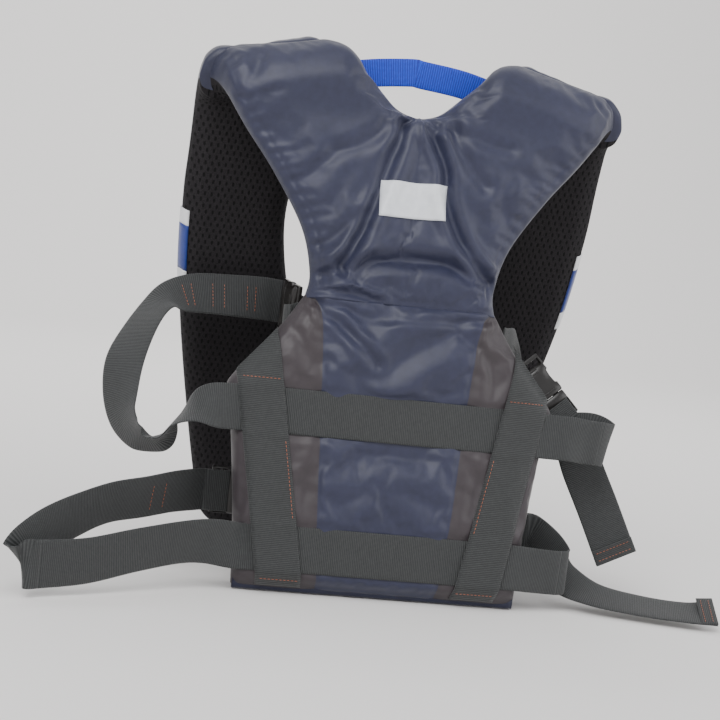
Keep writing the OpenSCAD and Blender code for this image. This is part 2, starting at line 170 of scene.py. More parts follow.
LOWER_FOLDS = [
    ([(-80, 256), (-39, 249), (14, 248), (72, 253), (84, 257)], 3.2, 3.0),
    ([(-74, 250), (-48, 233), (-20, 207)], 3.8, 4.0),
    ([(52, 240), (17, 223), (-7, 204), (-31, 193)], 4.5, 11.0),
    ([(-40, 112), (-8, 126), (30, 128)], 1.6, 10.0),
    ([(-40, 82), (0, 100), (44, 84)], 1.5, 9.0),
    ([(66, 232), (84, 214), (88, 190)], 2.0, 6.0),
    ([(-70, 200), (-84, 214), (-92, 226)], 1.6, 6.0),
    ([(70, 128), (80, 110), (76, 84)], 1.8, 6.0),
    ([(-62, 120), (-70, 96), (-68, 70)], 1.4, 6.0),
    ([(128, 128), (122, 100), (124, 76)], 1.6, 5.0),
    ([(-136, 128), (-128, 96), (-130, 66)], 1.6, 5.0),
]


def edge(points, heights, steps=6):
    """The x of an outline at given heights."""
    c = curve_through(points, steps)
    order = np.argsort(c[:, 1], kind="stable")
    return np.interp(heights, c[order, 1], c[order, 0])


def distance_to(lines, x, s):
    """Distance from pattern points to the nearest of some polylines."""
    p = np.stack([x, s], -1)
    best = np.full(p.shape[:-1], 1e9)
    for line in lines:
        for a, b in zip(line[:-1], line[1:]):
            ab = b - a
            t = np.clip(((p - a) @ ab) / max(ab @ ab, 1e-9), 0, 1)
            best = np.minimum(best, np.linalg.norm(p - a - t[..., None] * ab, axis=-1))
    return best


def outline(points):
    return curve_through(points, 6)


def mirrored(line):
    return line * np.array([-1, 1])


def crown(distance, radius, thick, rim=1.2):
    """Half thickness of a pad at a distance from its sewn rim: a quarter ellipse, then flat."""
    t = np.clip(distance / radius, 0, 1)
    return rim + (thick - rim) * np.sqrt(1 - (1 - t) ** 2)


def folds(x, s, table):
    """Relief of fabric folds: each is a groove between two rounded lips."""
    relief = np.zeros_like(x)
    for points, depth, width in table:
        d = distance_to([curve_through(points, 4)], x, s)
        relief += depth * (0.5 * bump(d - 2.1 * width, 1.2 * width) - bump(d, width))
    return relief


def puckers(distance, along, pitch, height, depth):
    """Small gathers across a hem: ridges that fade away from the hem's stitching."""
    wobble = np.sin(2 * math.pi * along / pitch + 1.7 * np.sin(along / 17) + np.sin(along / 7.3))
    return height * wobble * bump(distance - depth, depth * 0.8)


def lower_half(x, s):
    """Half thickness of the lower back pad."""
    side = outline(SIDE_EDGE)
    d = distance_to([side, mirrored(side)], x, s)
    h = crown(d, 24, PAD_HALF + PUFF)
    h = h * (1 - 0.1 * bump(s - WAIST, 6)) * (1 - 0.72 * bump(s - HEM_TOP + 4, 8))
    seam = np.abs(np.abs(x) - edge(CENTRE_EDGE, s))
    inside = smooth(d / 12)
    h -= 2.0 * bump(seam, 2.6) * inside
    h += 0.5 * np.sin(2 * math.pi * s / 13 + np.sin(s / 9)) * bump(seam - 4, 4) * inside
    for belt in (LOWER_BELT, UPPER_BELT):
        h -= 2.2 * smooth((WEB_WIDTH / 2 + 7 - np.abs(s - belt)) / 9) * inside
    return np.maximum(h + folds(x, s, LOWER_FOLDS) * inside, 1.2)


def yoke_half(x, s):
    """Half thickness of the yoke pad."""
    arm = outline(ARM_EDGE)
    neck = outline(NECK_EDGE)
    to_arm = distance_to([arm, mirrored(arm)], x, s)
    to_neck = distance_to([neck, mirrored(neck)], x, s)
    d = np.minimum(to_arm, to_neck)
    shoulder = smooth((s - 415) / 50)
    thick = PAD_HALF + PUFF * smooth(1 - (s - WAIST) / 60) + SHOULDER_PUFF * shoulder
    h = crown(d, 26 - 9 * shoulder, thick) * (1 - 0.05 * bump(s - WAIST + LAP, 6))
    inside = smooth(d / 10)
    notch = np.hypot(x, s - NECK_EDGE[0][1])
    turn = np.arctan2(x, NECK_EDGE[0][1] - s)
    gathers = 1.8 * np.sin(turn * 9 + 0.8) * bump(notch - 14, 16)
    h += (folds(x, s, YOKE_FOLDS) + gathers) * inside
    h -= 1.3 * bump(to_arm - 9, 1.6) * smooth((s - WAIST) / 30)
    h += puckers(to_arm, s + 0.35 * np.abs(x), 11, 0.7, 9) * smooth((s - WAIST) / 20)
    return np.maximum(h, 1.2)


def front_half(x, height):
    """Half thickness of a front pad."""
    outer = outline(FRONT_OUTER)
    inner = outline(FRONT_INNER)
    d = distance_to([outer, inner], np.abs(x), height)
    shoulder = smooth((height - 410) / 60)
    h = crown(d, 22 - 5 * shoulder, PAD_HALF + SHOULDER_PUFF * shoulder)
    h -= 1.0 * bump(d - 9, 1.6)
    h += puckers(d, height + 0.5 * np.abs(x), 12, 0.5, 9)
    return np.maximum(h, 1.2)


# ---------------------------------------------------------------- making meshes
def new_object(name, verts, faces, uvs=None, materials=(), face_material=None):
    mesh = bpy.data.meshes.new(name)
    mesh.from_pydata([tuple(v) for v in verts], [], [tuple(int(i) for i in f) for f in faces])
    for m in materials:
        mesh.materials.append(m)
    if face_material is not None:
        mesh.polygons.foreach_set("material_index", np.asarray(face_material, np.int32))
    if uvs is not None:
        layer = mesh.uv_layers.new(name="metres")
        loops = np.empty(len(mesh.loops), np.int32)
        mesh.loops.foreach_get("vertex_index", loops)
        layer.data.foreach_set("uv", np.asarray(uvs, np.float32)[loops].ravel())
    mesh.polygons.foreach_set("use_smooth", np.ones(len(mesh.polygons), bool))
    mesh.update()
    obj = bpy.data.objects.new(name, mesh)
    bpy.context.scene.collection.objects.link(obj)
    return obj


def grid_faces(rows, cols, first=0, flip=False):
    faces = []
    for r in range(rows - 1):
        for c in range(cols - 1):
            a = first + r * cols + c
            quad = (a, a + 1, a + cols + 1, a + cols)
            faces.append(quad[::-1] if flip else quad)
    return faces


def closed_sheet(name, top, low, uv, materials, top_index=0, low_index=0, gap=None):
    """A closed solid from two sheets of grid points. Quads marked in gap are left out, and
    every open edge of the top sheet is joined to the low one."""
    rows, cols = top.shape[:2]
    n = rows * cols
    keep = np.ones((rows - 1, cols - 1), bool) if gap is None else ~gap
    chosen = np.flatnonzero(keep.ravel())
    upper = grid_faces(rows, cols)
    lower = grid_faces(rows, cols, n, flip=True)
    faces = [upper[i] for i in chosen] + [lower[i] for i in chosen]
    index = list(np.broadcast_to(top_index, keep.shape).ravel()[chosen])
    index += list(np.broadcast_to(low_index, keep.shape).ravel()[chosen])
    open_edges = {}
    for face_number, i in enumerate(chosen):
        quad = upper[i]
        for a, b in zip(quad, quad[1:] + quad[:1]):
            if (b, a) in open_edges:
                del open_edges[(b, a)]
            else:
                open_edges[(a, b)] = index[face_number]
    for (a, b), rim_index in open_edges.items():
        faces.append((b, a, a + n, b + n))
        index.append(rim_index)
    verts = np.vstack([top.reshape(-1, 3), low.reshape(-1, 3)])
    flat_uv = uv.reshape(-1, 2)
    return new_object(name, verts, faces, np.vstack([flat_uv, flat_uv]), materials, index)


def merge_close(obj, distance=0.00002):
    """Joins points that lie on each other."""
    bm = bmesh.new()
    bm.from_mesh(obj.data)
    bmesh.ops.remove_doubles(bm, verts=bm.verts, dist=distance)
    bmesh.ops.dissolve_degenerate(bm, edges=bm.edges, dist=distance)
    bmesh.ops.recalc_face_normals(bm, faces=bm.faces)
    bm.to_mesh(obj.data)
    bm.free()


def subdivide(obj, levels=1):
    modifier = obj.modifiers.new("soft", "SUBSURF")
    modifier.levels = levels
    modifier.render_levels = levels


def spread(count, rounding=0.5):
    """count values from 0 to 1, closer together near both ends."""
    t = np.linspace(0, 1, count)
    return (1 - rounding) * t + rounding * 0.5 * (1 - np.cos(math.pi * t))


# ---------------------------------------------------------------- materials
def linear(r, g, b):
    """sRGB bytes to a linear colour."""
    def channel(v):
        v /= 255
        return v / 12.92 if v <= 0.04045 else ((v + 0.055) / 1.055) ** 2.4
    return (channel(r), channel(g), channel(b), 1)


class Nodes:
    """A small helper that adds nodes to one material."""

    def __init__(self, name, roughness=0.6):
        self.material = bpy.data.materials.new(name)
        self.material.use_nodes = True
        self.tree = self.material.node_tree
        self.shader = self.tree.nodes["Principled BSDF"]
        self.shader.inputs["Roughness"].default_value = roughness
        self.coords = self.tree.nodes.new("ShaderNodeTexCoord")

    def add(self, kind, **values):
        node = self.tree.nodes.new(kind)
        for key, value in values.items():
            setattr(node, key, value)
        return node

    def link(self, source, target):
        self.tree.links.new(source, target)

    def math(self, operation, a, b=None):
        node = self.add("ShaderNodeMath", operation=operation)
        for socket, value in zip(node.inputs, (a, b)):
            if value is None:
                continue
            if isinstance(value, (int, float)):
                socket.default_value = value
            else:
                self.link(value, socket)
        return node.outputs[0]

    def noise(self, scale, detail=3, vector=None, rough=0.5):
        node = self.add("ShaderNodeTexNoise")
        node.inputs["Scale"].default_value = scale
        node.inputs["Detail"].default_value = detail
        node.inputs["Roughness"].default_value = rough
        self.link(vector or self.coords.outputs["Object"], node.inputs["Vector"])
        return node.outputs["Fac"]

    def uv(self):
        node = self.add("ShaderNodeSeparateXYZ")
        self.link(self.coords.outputs["UV"], node.inputs[0])
        return node.outputs[0], node.outputs[1]

    def ramp(self, value, low, high, place=(0.3, 0.7)):
        node = self.add("ShaderNodeValToRGB")
        node.color_ramp.elements[0].position = place[0]
        node.color_ramp.elements[0].color = low
        node.color_ramp.elements[1].position = place[1]
        node.color_ramp.elements[1].color = high
        self.link(value, node.inputs[0])
        return node.outputs["Color"]

    def mix(self, share, a, b):
        node = self.add("ShaderNodeMix", data_type="RGBA")
        for socket, value in ((node.inputs[0], share), (node.inputs[6], a), (node.inputs[7], b)):
            if isinstance(value, (int, float, tuple)):
                socket.default_value = value
            else:
                self.link(value, socket)
        return node.outputs[2]

    def relief(self, heights):
        """Chains bump nodes: (height, distance in metres, strength) each."""
        normal = None
        for height, distance, strength in heights:
            node = self.add("ShaderNodeBump")
            node.inputs["Distance"].default_value = distance
            node.inputs["Strength"].default_value = strength
            self.link(height, node.inputs["Height"])
            if normal is not None:
                self.link(normal, node.inputs["Normal"])
            normal = node.outputs["Normal"]
        self.link(normal, self.shader.inputs["Normal"])

    def colour(self, value):
        self.link(value, self.shader.inputs["Base Color"])


def wave_height(n, value, pitch, phase=0.0):
    turned = n.math("ADD", n.math("MULTIPLY", value, 2 * math.pi / pitch), phase)
    return n.math("ADD", n.math("MULTIPLY", n.math("SINE", turned), 0.5), 0.5)


def nylon(name, dark, light, roughness=0.42, sheen=0.25):
    """Fine woven nylon: a plain weave 0.7 mm apart, a soft sheen and slight rumpling."""
    n = Nodes(name, roughness)
    u, v = n.uv()
    weave = n.math("MULTIPLY", wave_height(n, u, 0.0007), wave_height(n, v, 0.0007))
    cloudy = n.noise(9, 4)
    fine = n.noise(160, 3)
    blend = n.math("ADD", n.math("MULTIPLY", cloudy, 0.5), n.math("MULTIPLY", fine, 0.5))
    n.colour(n.mix(n.math("MULTIPLY", weave, 0.25), n.ramp(blend, dark, light), dark))
    n.relief([(weave, 0.00006, 0.6), (n.noise(48, 4), 0.0011, 0.4), (n.noise(17, 3), 0.004, 0.25)])
    n.shader.inputs["Sheen Weight"].default_value = sheen
    n.shader.inputs["Sheen Roughness"].default_value = 0.4
    n.shader.inputs["Specular IOR Level"].default_value = 0.45
    return n.material


def webbing(name, dark, light, rib=0.0016):
    """Flat woven webbing: ribs across it, finer warp threads along it, and firm selvedges."""
    n = Nodes(name, 0.62)
    across, along = n.uv()
    ribs = wave_height(n, along, rib)
    warp = wave_height(n, across, 0.0011)
    threads = n.math("MULTIPLY", ribs, n.math("ADD", n.math("MULTIPLY", warp, 0.6), 0.4))
    # partly painted shade: the colour follows the rib relief, darker in the grooves between ribs and lighter on
    # their crests; the noise adds the yarn's own uneven tone
    shade = n.math("ADD", n.math("MULTIPLY", threads, 0.75), n.math("MULTIPLY", n.noise(300, 4), 0.3))
    n.colour(n.ramp(shade, dark, light, (0.12, 0.9)))
    n.relief([(threads, 0.0004, 0.9), (n.noise(700, 2), 0.00015, 0.4)])
    n.shader.inputs["Sheen Weight"].default_value = 0.15
    n.shader.inputs["Specular IOR Level"].default_value = 0.35
    return n.material


def spacer_mesh(name):
    """Spacer mesh: tall slots in staggered rows through a dark knitted face; the slots are painted near black as
    painted shade inside them.
    """
    n = Nodes(name, 0.8)
    u, v = n.uv()
    pitch_u, pitch_v = 0.0062, 0.0059
    cu = n.math("COSINE", n.math("MULTIPLY", u, 2 * math.pi / pitch_u))
    cv = n.math("COSINE", n.math("MULTIPLY", v, math.pi / pitch_v))
    product = n.math("MULTIPLY", cu, cv)
    cell = n.math("ADD", n.math("MULTIPLY", product, 0.5), 0.5)
    slot_shape = n.add("ShaderNodeMapRange", interpolation_type="SMOOTHSTEP")
    slot_shape.inputs["From Min"].default_value = 0.66
    slot_shape.inputs["From Max"].default_value = 0.84
    n.link(cell, slot_shape.inputs["Value"])
    hole = slot_shape.outputs["Result"]
    yarn = n.ramp(n.noise(900, 2), linear(20, 18, 20), linear(37, 34, 37))
    # painted shade: the slots are coloured near black to stand for the shadow inside the holes; the yarn ramp is
    # the knit's own uneven tone
    n.colour(n.mix(hole, yarn, linear(4, 4, 5)))
    solid = n.math("SUBTRACT", 1.0, hole)
    n.relief([(solid, 0.0012, 0.9), (n.noise(1200, 2), 0.0002, 0.5)])
    n.shader.inputs["Specular IOR Level"].default_value = 0.25
    return n.material


def plastic(name, tint, roughness):
    n = Nodes(name, roughness)
    n.colour(n.ramp(n.noise(30, 3), tint, tuple(min(1, c * 1.35) for c in tint[:3]) + (1,)))
    n.relief([(n.noise(900, 2), 0.00005, 0.5), (n.noise(35, 2), 0.0003, 0.25)])
    return n.material


def make_materials():
    return {
        "navy": nylon("navy_nylon", linear(29, 32, 53), linear(41, 44, 68), 0.46, 0.22),
        "taupe": nylon("taupe_nylon", linear(45, 39, 43), linear(55, 49, 52), 0.46, 0.12),
        "hem": nylon("hem_tape", linear(15, 18, 40), linear(23, 27, 52), 0.5, 0.1),
        "mesh": spacer_mesh("spacer_mesh"),
        "web": webbing("webbing", linear(24, 26, 27), linear(66, 68, 68)),
        "haul": webbing("haul_webbing", linear(9, 32, 140), linear(30, 78, 226), 0.0021),
        "patch": nylon("reflective", linear(200, 204, 210), linear(222, 225, 229), 0.35, 0.1),
        "white": nylon("stripe_white", linear(205, 206, 208), linear(228, 229, 230), 0.6),
        "blue": nylon("stripe_blue", linear(18, 40, 108), linear(28, 54, 134), 0.5),
        "plastic": plastic("buckle_plastic", linear(24, 22, 21), 0.3),
        "zip": plastic("zip_plastic", linear(26, 26, 30), 0.38),
        "thread": webbing("orange_thread", linear(150, 84, 60), linear(214, 128, 96), 0.0009),
    }


MAT = make_materials()


# ---------------------------------------------------------------- pads
def settle(obj, pinned, frames, pressure, slack):
    """Lets the cover fabric of a pad puff up under slight pressure and wrinkle, then keeps that
    shape. pinned holds the points that stitching or webbing hold down."""
    obj.vertex_groups.new(name="held").add([int(i) for i in np.flatnonzero(pinned)], 1.0, "REPLACE")
    cloth = obj.modifiers.new("fabric", "CLOTH")
    settings = cloth.settings
    settings.quality = 6
    settings.mass = 0.12
    settings.tension_stiffness = 18
    settings.compression_stiffness = 12
    settings.shear_stiffness = 4
    settings.bending_stiffness = 0.25
    settings.use_pressure = True
    settings.uniform_pressure_force = pressure
    settings.shrink_min = -slack
    settings.vertex_group_mass = "held"
    settings.effector_weights.gravity = 0
    cloth.collision_settings.use_collision = False
    cloth.point_cache.frame_start = 1
    cloth.point_cache.frame_end = frames
    rest = np.empty(len(obj.data.vertices) * 3, np.float32)
    obj.data.vertices.foreach_get("co", rest)
    scene = bpy.context.scene
    for number in range(1, frames + 1):
        scene.frame_set(number)
    graph = bpy.context.evaluated_depsgraph_get()
    settled = bpy.data.meshes.new_from_object(obj.evaluated_get(graph))
    moved = np.empty(len(settled.vertices) * 3, np.float32)
    settled.vertices.foreach_get("co", moved)
    obj.modifiers.remove(cloth)
    scene.frame_set(1)
    shift = np.nan_to_num((moved - rest).reshape(-1, 3))
    length = np.linalg.norm(shift, axis=1, keepdims=True)
    shift *= np.minimum(1, MAX_PUFF * MM / np.maximum(length, 1e-9))
    obj.data.vertices.foreach_set("co", (rest.reshape(-1, 3) + shift).ravel())
    obj.data.update()


def finish_pad(obj, held, frames=14, pressure=2.2, slack=0.035):
    """Merges a pad's doubled points, settles its fabric and softens it."""
    layer = obj.data.attributes.new("held_down", "FLOAT", "POINT")
    layer.data.foreach_set("value", np.asarray(held, np.float32).ravel())
    merge_close(obj)
    pinned = np.empty(len(obj.data.vertices), np.float32)
    obj.data.attributes["held_down"].data.foreach_get("value", pinned)
    obj.data.attributes.remove(obj.data.attributes["held_down"])
    settle(obj, pinned > 0.5, frames, pressure, slack)
    subdivide(obj)


def lower_back():
    rows = HEM_TOP - 4 + (WAIST - HEM_TOP + 4) * spread(72, 0.2)
    side = edge(SIDE_EDGE, rows)
    centre = np.minimum(edge(CENTRE_EDGE, rows), side - 2.5)
    flank_columns = 19
    flank = np.linspace(0, 1, flank_columns) ** 0.8
    middle = np.linspace(-1, 1, 37)
    x = np.concatenate([
        -(centre[:, None] + (side - centre)[:, None] * flank[None, ::-1]),
        centre[:, None] * middle[None, 1:-1],
        centre[:, None] + (side - centre)[:, None] * flank[None, :]], 1)
    s = np.repeat(rows[:, None], x.shape[1], 1)
    half = lower_half(x, s)
    tint = np.zeros(x.shape[1] - 1, int)
    tint[:flank_columns - 1] = 2
    tint[1 - flank_columns:] = 2
    lining = np.minimum(half, PAD_HALF)     # flat where the lower anchors lie on it
    obj = closed_sheet("lower_back_pad", wrap(x, s, half), wrap(x, s, -lining), np.stack([x, s], -1) * MM,
                       [MAT["navy"], MAT["mesh"], MAT["taupe"]], tint, 1)
    rim = distance_to([outline(SIDE_EDGE), mirrored(outline(SIDE_EDGE))], x, s) < 2
    rim |= (s < HEM_TOP + 3) | (s > WAIST - 4)
    rim |= np.abs(np.abs(x) - edge(CENTRE_EDGE, s)) < 2
    for belt in (LOWER_BELT, UPPER_BELT):
        rim |= np.abs(s - belt) < WEB_WIDTH / 2 + 2
    rim |= np.abs(np.abs(x) - band_centre(s)) < WEB_WIDTH / 2 + 2
    finish_pad(obj, np.concatenate([rim.ravel(), np.ones(rim.size)]))
    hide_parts("back_foam_lower", "back_centre_panel", "side_panel_left", "side_panel_right",
                "back_lining")
    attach(obj, "back")
    return obj


def band_centre(s):
    """How far a vertical band's middle lies from the vest's middle."""
    return 87 + (121 - 87) * (s - HEM_TOP) / 182


def seam_path(x):
    start, _, length = fold(x)
    return start + SEAM_SHARE * length


def yoke():
    """The whole yoke: a left and a right wing that meet below the neck notch."""
    rows = spread(92, 0.15)[:, None]
    cols = spread(44, 0.4)[None, :]
    notch = NECK_EDGE[0][1]
    neck_seam = seam_path(NECK_HALF + 2)
    tip_seam = seam_path(SHOULDER_HALF)
    top = neck_seam + (tip_seam - neck_seam) * cols + SEAM_LAP
    s = WAIST - LAP + (top - WAIST + LAP) * rows
    inner = edge(NECK_EDGE, s)
    inner[s < notch] = 0
    x = inner + (edge(ARM_EDGE, s) - inner) * cols
    x = np.concatenate([-x[:, ::-1], x], 1)
    s = np.concatenate([s[:, ::-1], s], 1)
    half = yoke_half(x, s)
    gap = np.zeros((x.shape[0] - 1, x.shape[1] - 1), bool)
    middle = cols.size - 1
    gap[:, middle] = True
    obj = closed_sheet("yoke_pad", wrap(x, s, half), wrap(x, s, -half), np.stack([x, s], -1) * MM,
                       [MAT["navy"], MAT["mesh"]], 0, 1, gap)
    remove_inner_walls(obj)
    lines = [outline(ARM_EDGE), outline(NECK_EDGE)]
    rim = distance_to(lines + [mirrored(line) for line in lines], x, s) < 2
    rim |= (s < WAIST + 3) | (rows > 0.985)
    finish_pad(obj, np.concatenate([rim.ravel(), np.ones(rim.size)]))
    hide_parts("back_foam_yoke", "yoke_cover", "shoulder_pad_left", "shoulder_pad_right")
    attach(obj, "back")
    return obj


def remove_inner_walls(obj):
    """Removes the faces that would close each wing along the vest's middle line."""
    bm = bmesh.new()
    bm.from_mesh(obj.data)
    walls = [f for f in bm.faces if all(abs(v.co.x) < 1e-6 for v in f.verts)]
    bmesh.ops.delete(bm, geom=walls, context="FACES_ONLY")
    bm.to_mesh(obj.data)
    bm.free()


def front_pad(sign, side):
    neckline = np.linspace(0.40, 0.48, 26)     # more rows where the neckline runs almost level
    rows = np.unique(np.concatenate([spread(88, 0.2), neckline]))[:, None]
    cols = spread(28, 0.5)[None, :]
    x_guess = NECK_HALF + (SHOULDER_HALF - NECK_HALF) * cols
    start, _, length = fold(x_guess)
    top = APEX_FRONT - (APEX_BACK - start) + (1 - SEAM_SHARE) * length + SEAM_LAP
    height = HEM_TOP - 4 + (top - HEM_TOP + 4) * rows
    inner = edge(FRONT_INNER, height)
    x = inner + (edge(FRONT_OUTER, height) - inner) * cols
    half = front_half(x, height) * (1 - 0.7 * bump(height - HEM_TOP + 4, 8))
    path = front_path(x, height)
    uv = np.stack([sign * x, height], -1) * MM
    obj = closed_sheet(f"front_pad_{side}", wrap(sign * x, path, half), wrap(sign * x, path, -half), uv,
                       [MAT["navy"], MAT["mesh"]], 0, 1)
    rim = distance_to([outline(FRONT_OUTER), outline(FRONT_INNER)], x, height) < 2
    rim |= (height < HEM_TOP + 3) | (rows > 0.985)
    finish_pad(obj, np.concatenate([rim.ravel(), np.ones(rim.size)]))
    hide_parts(f"front_foam_{side}", f"front_cover_{side}", f"front_lining_{side}")
    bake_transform(obj)
    return obj


REACH = 60               # how far outside the pads a search for their surface starts


class Surface:
    """Finds the outer face of finished pads from pattern points."""

    def __init__(self, *pads):
        graph = bpy.context.evaluated_depsgraph_get()
        self.trees = [BVHTree.FromObject(pad, graph) for pad in pads]

    def at(self, x, path, lift, side=1):
        """Points lifted above the pads' outer face (side 1) or above their lining (side -1)."""
        x, path, lift = np.broadcast_arrays(*(np.asarray(v, float) for v in (x, path, lift)))
        middle = wrap(x, path, 0)
        away = wrap(x, path, side * REACH)
        out = np.empty(x.shape + (3,))
        for i in np.ndindex(x.shape):
            start = Vector(away[i])
            toward = (Vector(middle[i]) - start).normalized()
            hits = [tree.ray_cast(start, toward, REACH * MM)[0] for tree in self.trees]
            hits = [hit for hit in hits if hit is not None]
            if hits:
                base = min(hits, key=lambda hit: (hit - start).length)
            else:
                base = start + toward * (REACH - PAD_HALF) * MM
            out[i] = base - toward * lift[i] * MM
        return out


# ---------------------------------------------------------------- webbing
def ribbon(name, top, low, across, along, material):
    uv = np.stack(np.meshgrid(across, along), -1)
    return closed_sheet(name, top, low, uv, [material])


def swept(path, lead_in=(), lead_out=(), steps=10):
    """Centres, width directions and outward directions along a strap's path, in metres. The
    leads are knots of the neighbouring webbing, which bend the ends but aren't kept."""
    knots = list(lead_in) + list(path) + list(lead_out)
    centres = curve_through([k[0] for k in knots], steps) * MM
    across = curve_through([k[1] for k in knots], steps)
    along = np.gradient(centres, axis=0)
    along /= np.linalg.norm(along, axis=1, keepdims=True)
    across -= (across * along).sum(1, keepdims=True) * along
    across /= np.linalg.norm(across, axis=1, keepdims=True)
    kept = slice(len(lead_in) * steps, len(centres) - len(lead_out) * steps)
    return centres[kept], across[kept], np.cross(along, across)[kept]


def strap(name, path, width=WEB_WIDTH, thick=WEB_THICK, material=None, lead_in=(), lead_out=()):
    """Webbing swept along [centre, width direction] pairs, in millimetres."""
    centres, across, out = swept(path, lead_in, lead_out)
    length = np.concatenate([[0], np.cumsum(np.linalg.norm(np.diff(centres, axis=0), axis=1))])
    u = np.sin(np.linspace(-0.5, 0.5, 9) * math.pi) / 2
    half = thick / 2 * (0.5 + 0.5 * np.sqrt(np.clip(1 - (2 * np.abs(u)) ** 12, 0, 1))) * MM
    flat = centres[:, None] + across[:, None] * (u * width * MM)[None, :, None]
    rise = out[:, None] * half[None, :, None]
    return ribbon(name, flat + rise, flat - rise, u * width * MM, length, material or MAT["web"])


def stitches(name, rows, pitch=3.4, length=2.3, radius=0.32, body="back"):
    """Rows of thread stitches: each row is a list of points in metres."""
    verts, faces = [], []
    sides = 5
    for row in rows:
        row = np.asarray(row, float)
        steps = np.concatenate([[0], np.cumsum(np.linalg.norm(np.diff(row, axis=0), axis=1))])
        for begin in np.arange(0, steps[-1] - length * MM, pitch * MM):
            a = np.array([np.interp(begin, steps, row[:, k]) for k in range(3)])
            b = np.array([np.interp(begin + length * MM, steps, row[:, k]) for k in range(3)])
            direction = Vector(b - a).normalized()
            side = direction.orthogonal().normalized()
            up = direction.cross(side)
            first = len(verts)
            for centre, scale in ((a, 0.45), ((a + b) / 2, 1.0), (b, 0.45)):
                for k in range(sides):
                    angle = 2 * math.pi * k / sides
                    rim = side * math.cos(angle) + up * math.sin(angle)
                    verts.append(Vector(centre) + rim * radius * scale * MM)
            for ring in range(2):
                for k in range(sides):
                    p = first + ring * sides
                    faces.append((p + k, p + (k + 1) % sides, p + sides + (k + 1) % sides, p + sides + k))
            faces.append(tuple(first + k for k in reversed(range(sides))))
            faces.append(tuple(first + 2 * sides + k for k in range(sides)))
    uv = [(v[0] + v[1], v[2]) for v in verts]
    obj = new_object(name, verts, faces, uv, [MAT["thread"]])
    if body:
        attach(obj, body)
    return obj


def add_piece(obj, body, slot, *nodes):
    """Attaches a finished piece to what it moves with and hides the CAD nodes it stands for. Its slot is not used.
    """
    if nodes:
        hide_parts(*nodes)
    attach(obj, body)


BELT_UP = (0, 0.14, 1)


def across_back(surface, s, outer):
    """A belt's run over the pad's surface."""
    xs = np.linspace(-outer, outer, 15)
    points = surface.at(xs, np.full(len(xs), s), WEB_THICK / 2 + 0.2) / MM
    points[:, 1] = np.minimum(points[:, 1], points[:, 1].min() + 2.5)
    return [(tuple(p), BELT_UP) for p in points]


UPPER_LEFT_RUN = [
    ((-197, 10, 128), (0.05, 0.88, -0.4)), ((-189, 3, 142), (0.12, 0.99, 0)),
    ((-176, -1, 153), (0.16, 0.85, 0.5)), ((-160, 0, 158), (0.1, 0.5, 0.85))]
UPPER_RIGHT_RUN = [
    ((162, 6, 158), (0.1, 0.1, 1)), ((180, 11, 156), (0.1, 0, 1)), ((193, 14, 155), (0.14, 0, 1))]
LOWER_LEFT_RUN = [
    ((-290, -84, 28), (-0.42, -0.2, 0.88)), ((-253, -68, 30), (-0.3, -0.26, 0.92)),
    ((-213, -50, 38), (-0.2, -0.3, 0.93)), ((-175, -32, 44), (-0.1, -0.3, 0.95)),
    ((-151, -19, 44), (0, -0.15, 0.99))]
LOWER_RIGHT_RUN = [((150, -4, 38), (0, 0, 1)), ((166, 0, 37), (0, 0, 1))]


UPPER_LEFT_STRAP = [
    ((-197, 10, 128), (0.05, 0.88, -0.4)), ((-206, 18, 121), (-0.13, 0.83, -0.54)),
    ((-221, 26, 123), (-0.32, 0.82, -0.48)), ((-233, 37, 137), (-0.52, 0.77, -0.36)),
    ((-237, 49, 160), (-0.75, 0.6, -0.28)), ((-235, 63, 186), (-0.85, 0.5, -0.18)),
    ((-224, 82, 213), (-0.74, 0.65, -0.15)), ((-211, 98, 232), (-0.4, 0.85, 0.2)),
    ((-197, 106, 241), (0.05, 0.75, 0.65)), ((-174, 112, 246), (0, 0.5, 0.86)),
    ((-140, 117, 247), (0, 0.35, 0.93)), ((-114, 122, 247), (0, 0.15, 1)), ((-101, 126, 246), (0, 0.05, 1))]
UPPER_RIGHT_STRAP = [
    ((193, 14, 155), (0.14, 0, 1)), ((203, 21, 154), (0.2, 0.05, 1)),
    ((202, 30, 155), (0.3, 0.05, 0.95)), ((192, 42, 160), (0.5, 0.08, 0.85))]
LOWER_LEFT_STRAP = [
    ((-290, -84, 28), (-0.42, -0.2, 0.88)), ((-300, -88, 28.5), (-0.5, -0.05, 0.86)),
    ((-304.6, -86.6, 29), (-0.5, -0.05, 0.86)), ((-304.5, -82.7, 32), (-0.5, -0.05, 0.86)),
    ((-300, -77, 40), (-0.52, -0.2, 0.83)), ((-285, -60, 52), (-0.42, -0.4, 0.81)),
    ((-262, -38, 62), (-0.35, -0.5, 0.79)), ((-237, -18, 70), (-0.2, -0.48, 0.85)),
    ((-208, 4, 73), (-0.12, -0.4, 0.9)), ((-181, 27, 76), (-0.05, -0.3, 0.95))]
LOWER_RIGHT_STRAP = [
    ((166, 0, 37), (0, 0, 1)), ((175, 6, 37), (0, 0, 1)), ((175, 18, 38), (0, 0, 1)),
    ((166, 32, 48), (0, 0, 1))]
UPPER_TAIL = [
    ((188, 62, 142), (0.95, 0, 0.3)), ((196, 60, 124), (1, 0, 0.1)), ((215, 56, 88), (0.99, 0, 0.14)),
    ((236, 50, 45), (0.95, 0, 0.32))]
LOWER_TAIL = [
    ((164, 46, 45), (0, 0.3, 0.9)), ((181, 34, 26), (0.15, 0.75, 0.65)), ((208, 18, 16), (0.3, 0.9, 0.35)),
    ((250, 4, 12), (0.3, 0.92, 0.25)), ((290, -8, 12), (0.3, 0.92, 0.25)),
    ((313, -13, 15), (0.2, 0.92, 0.38))]


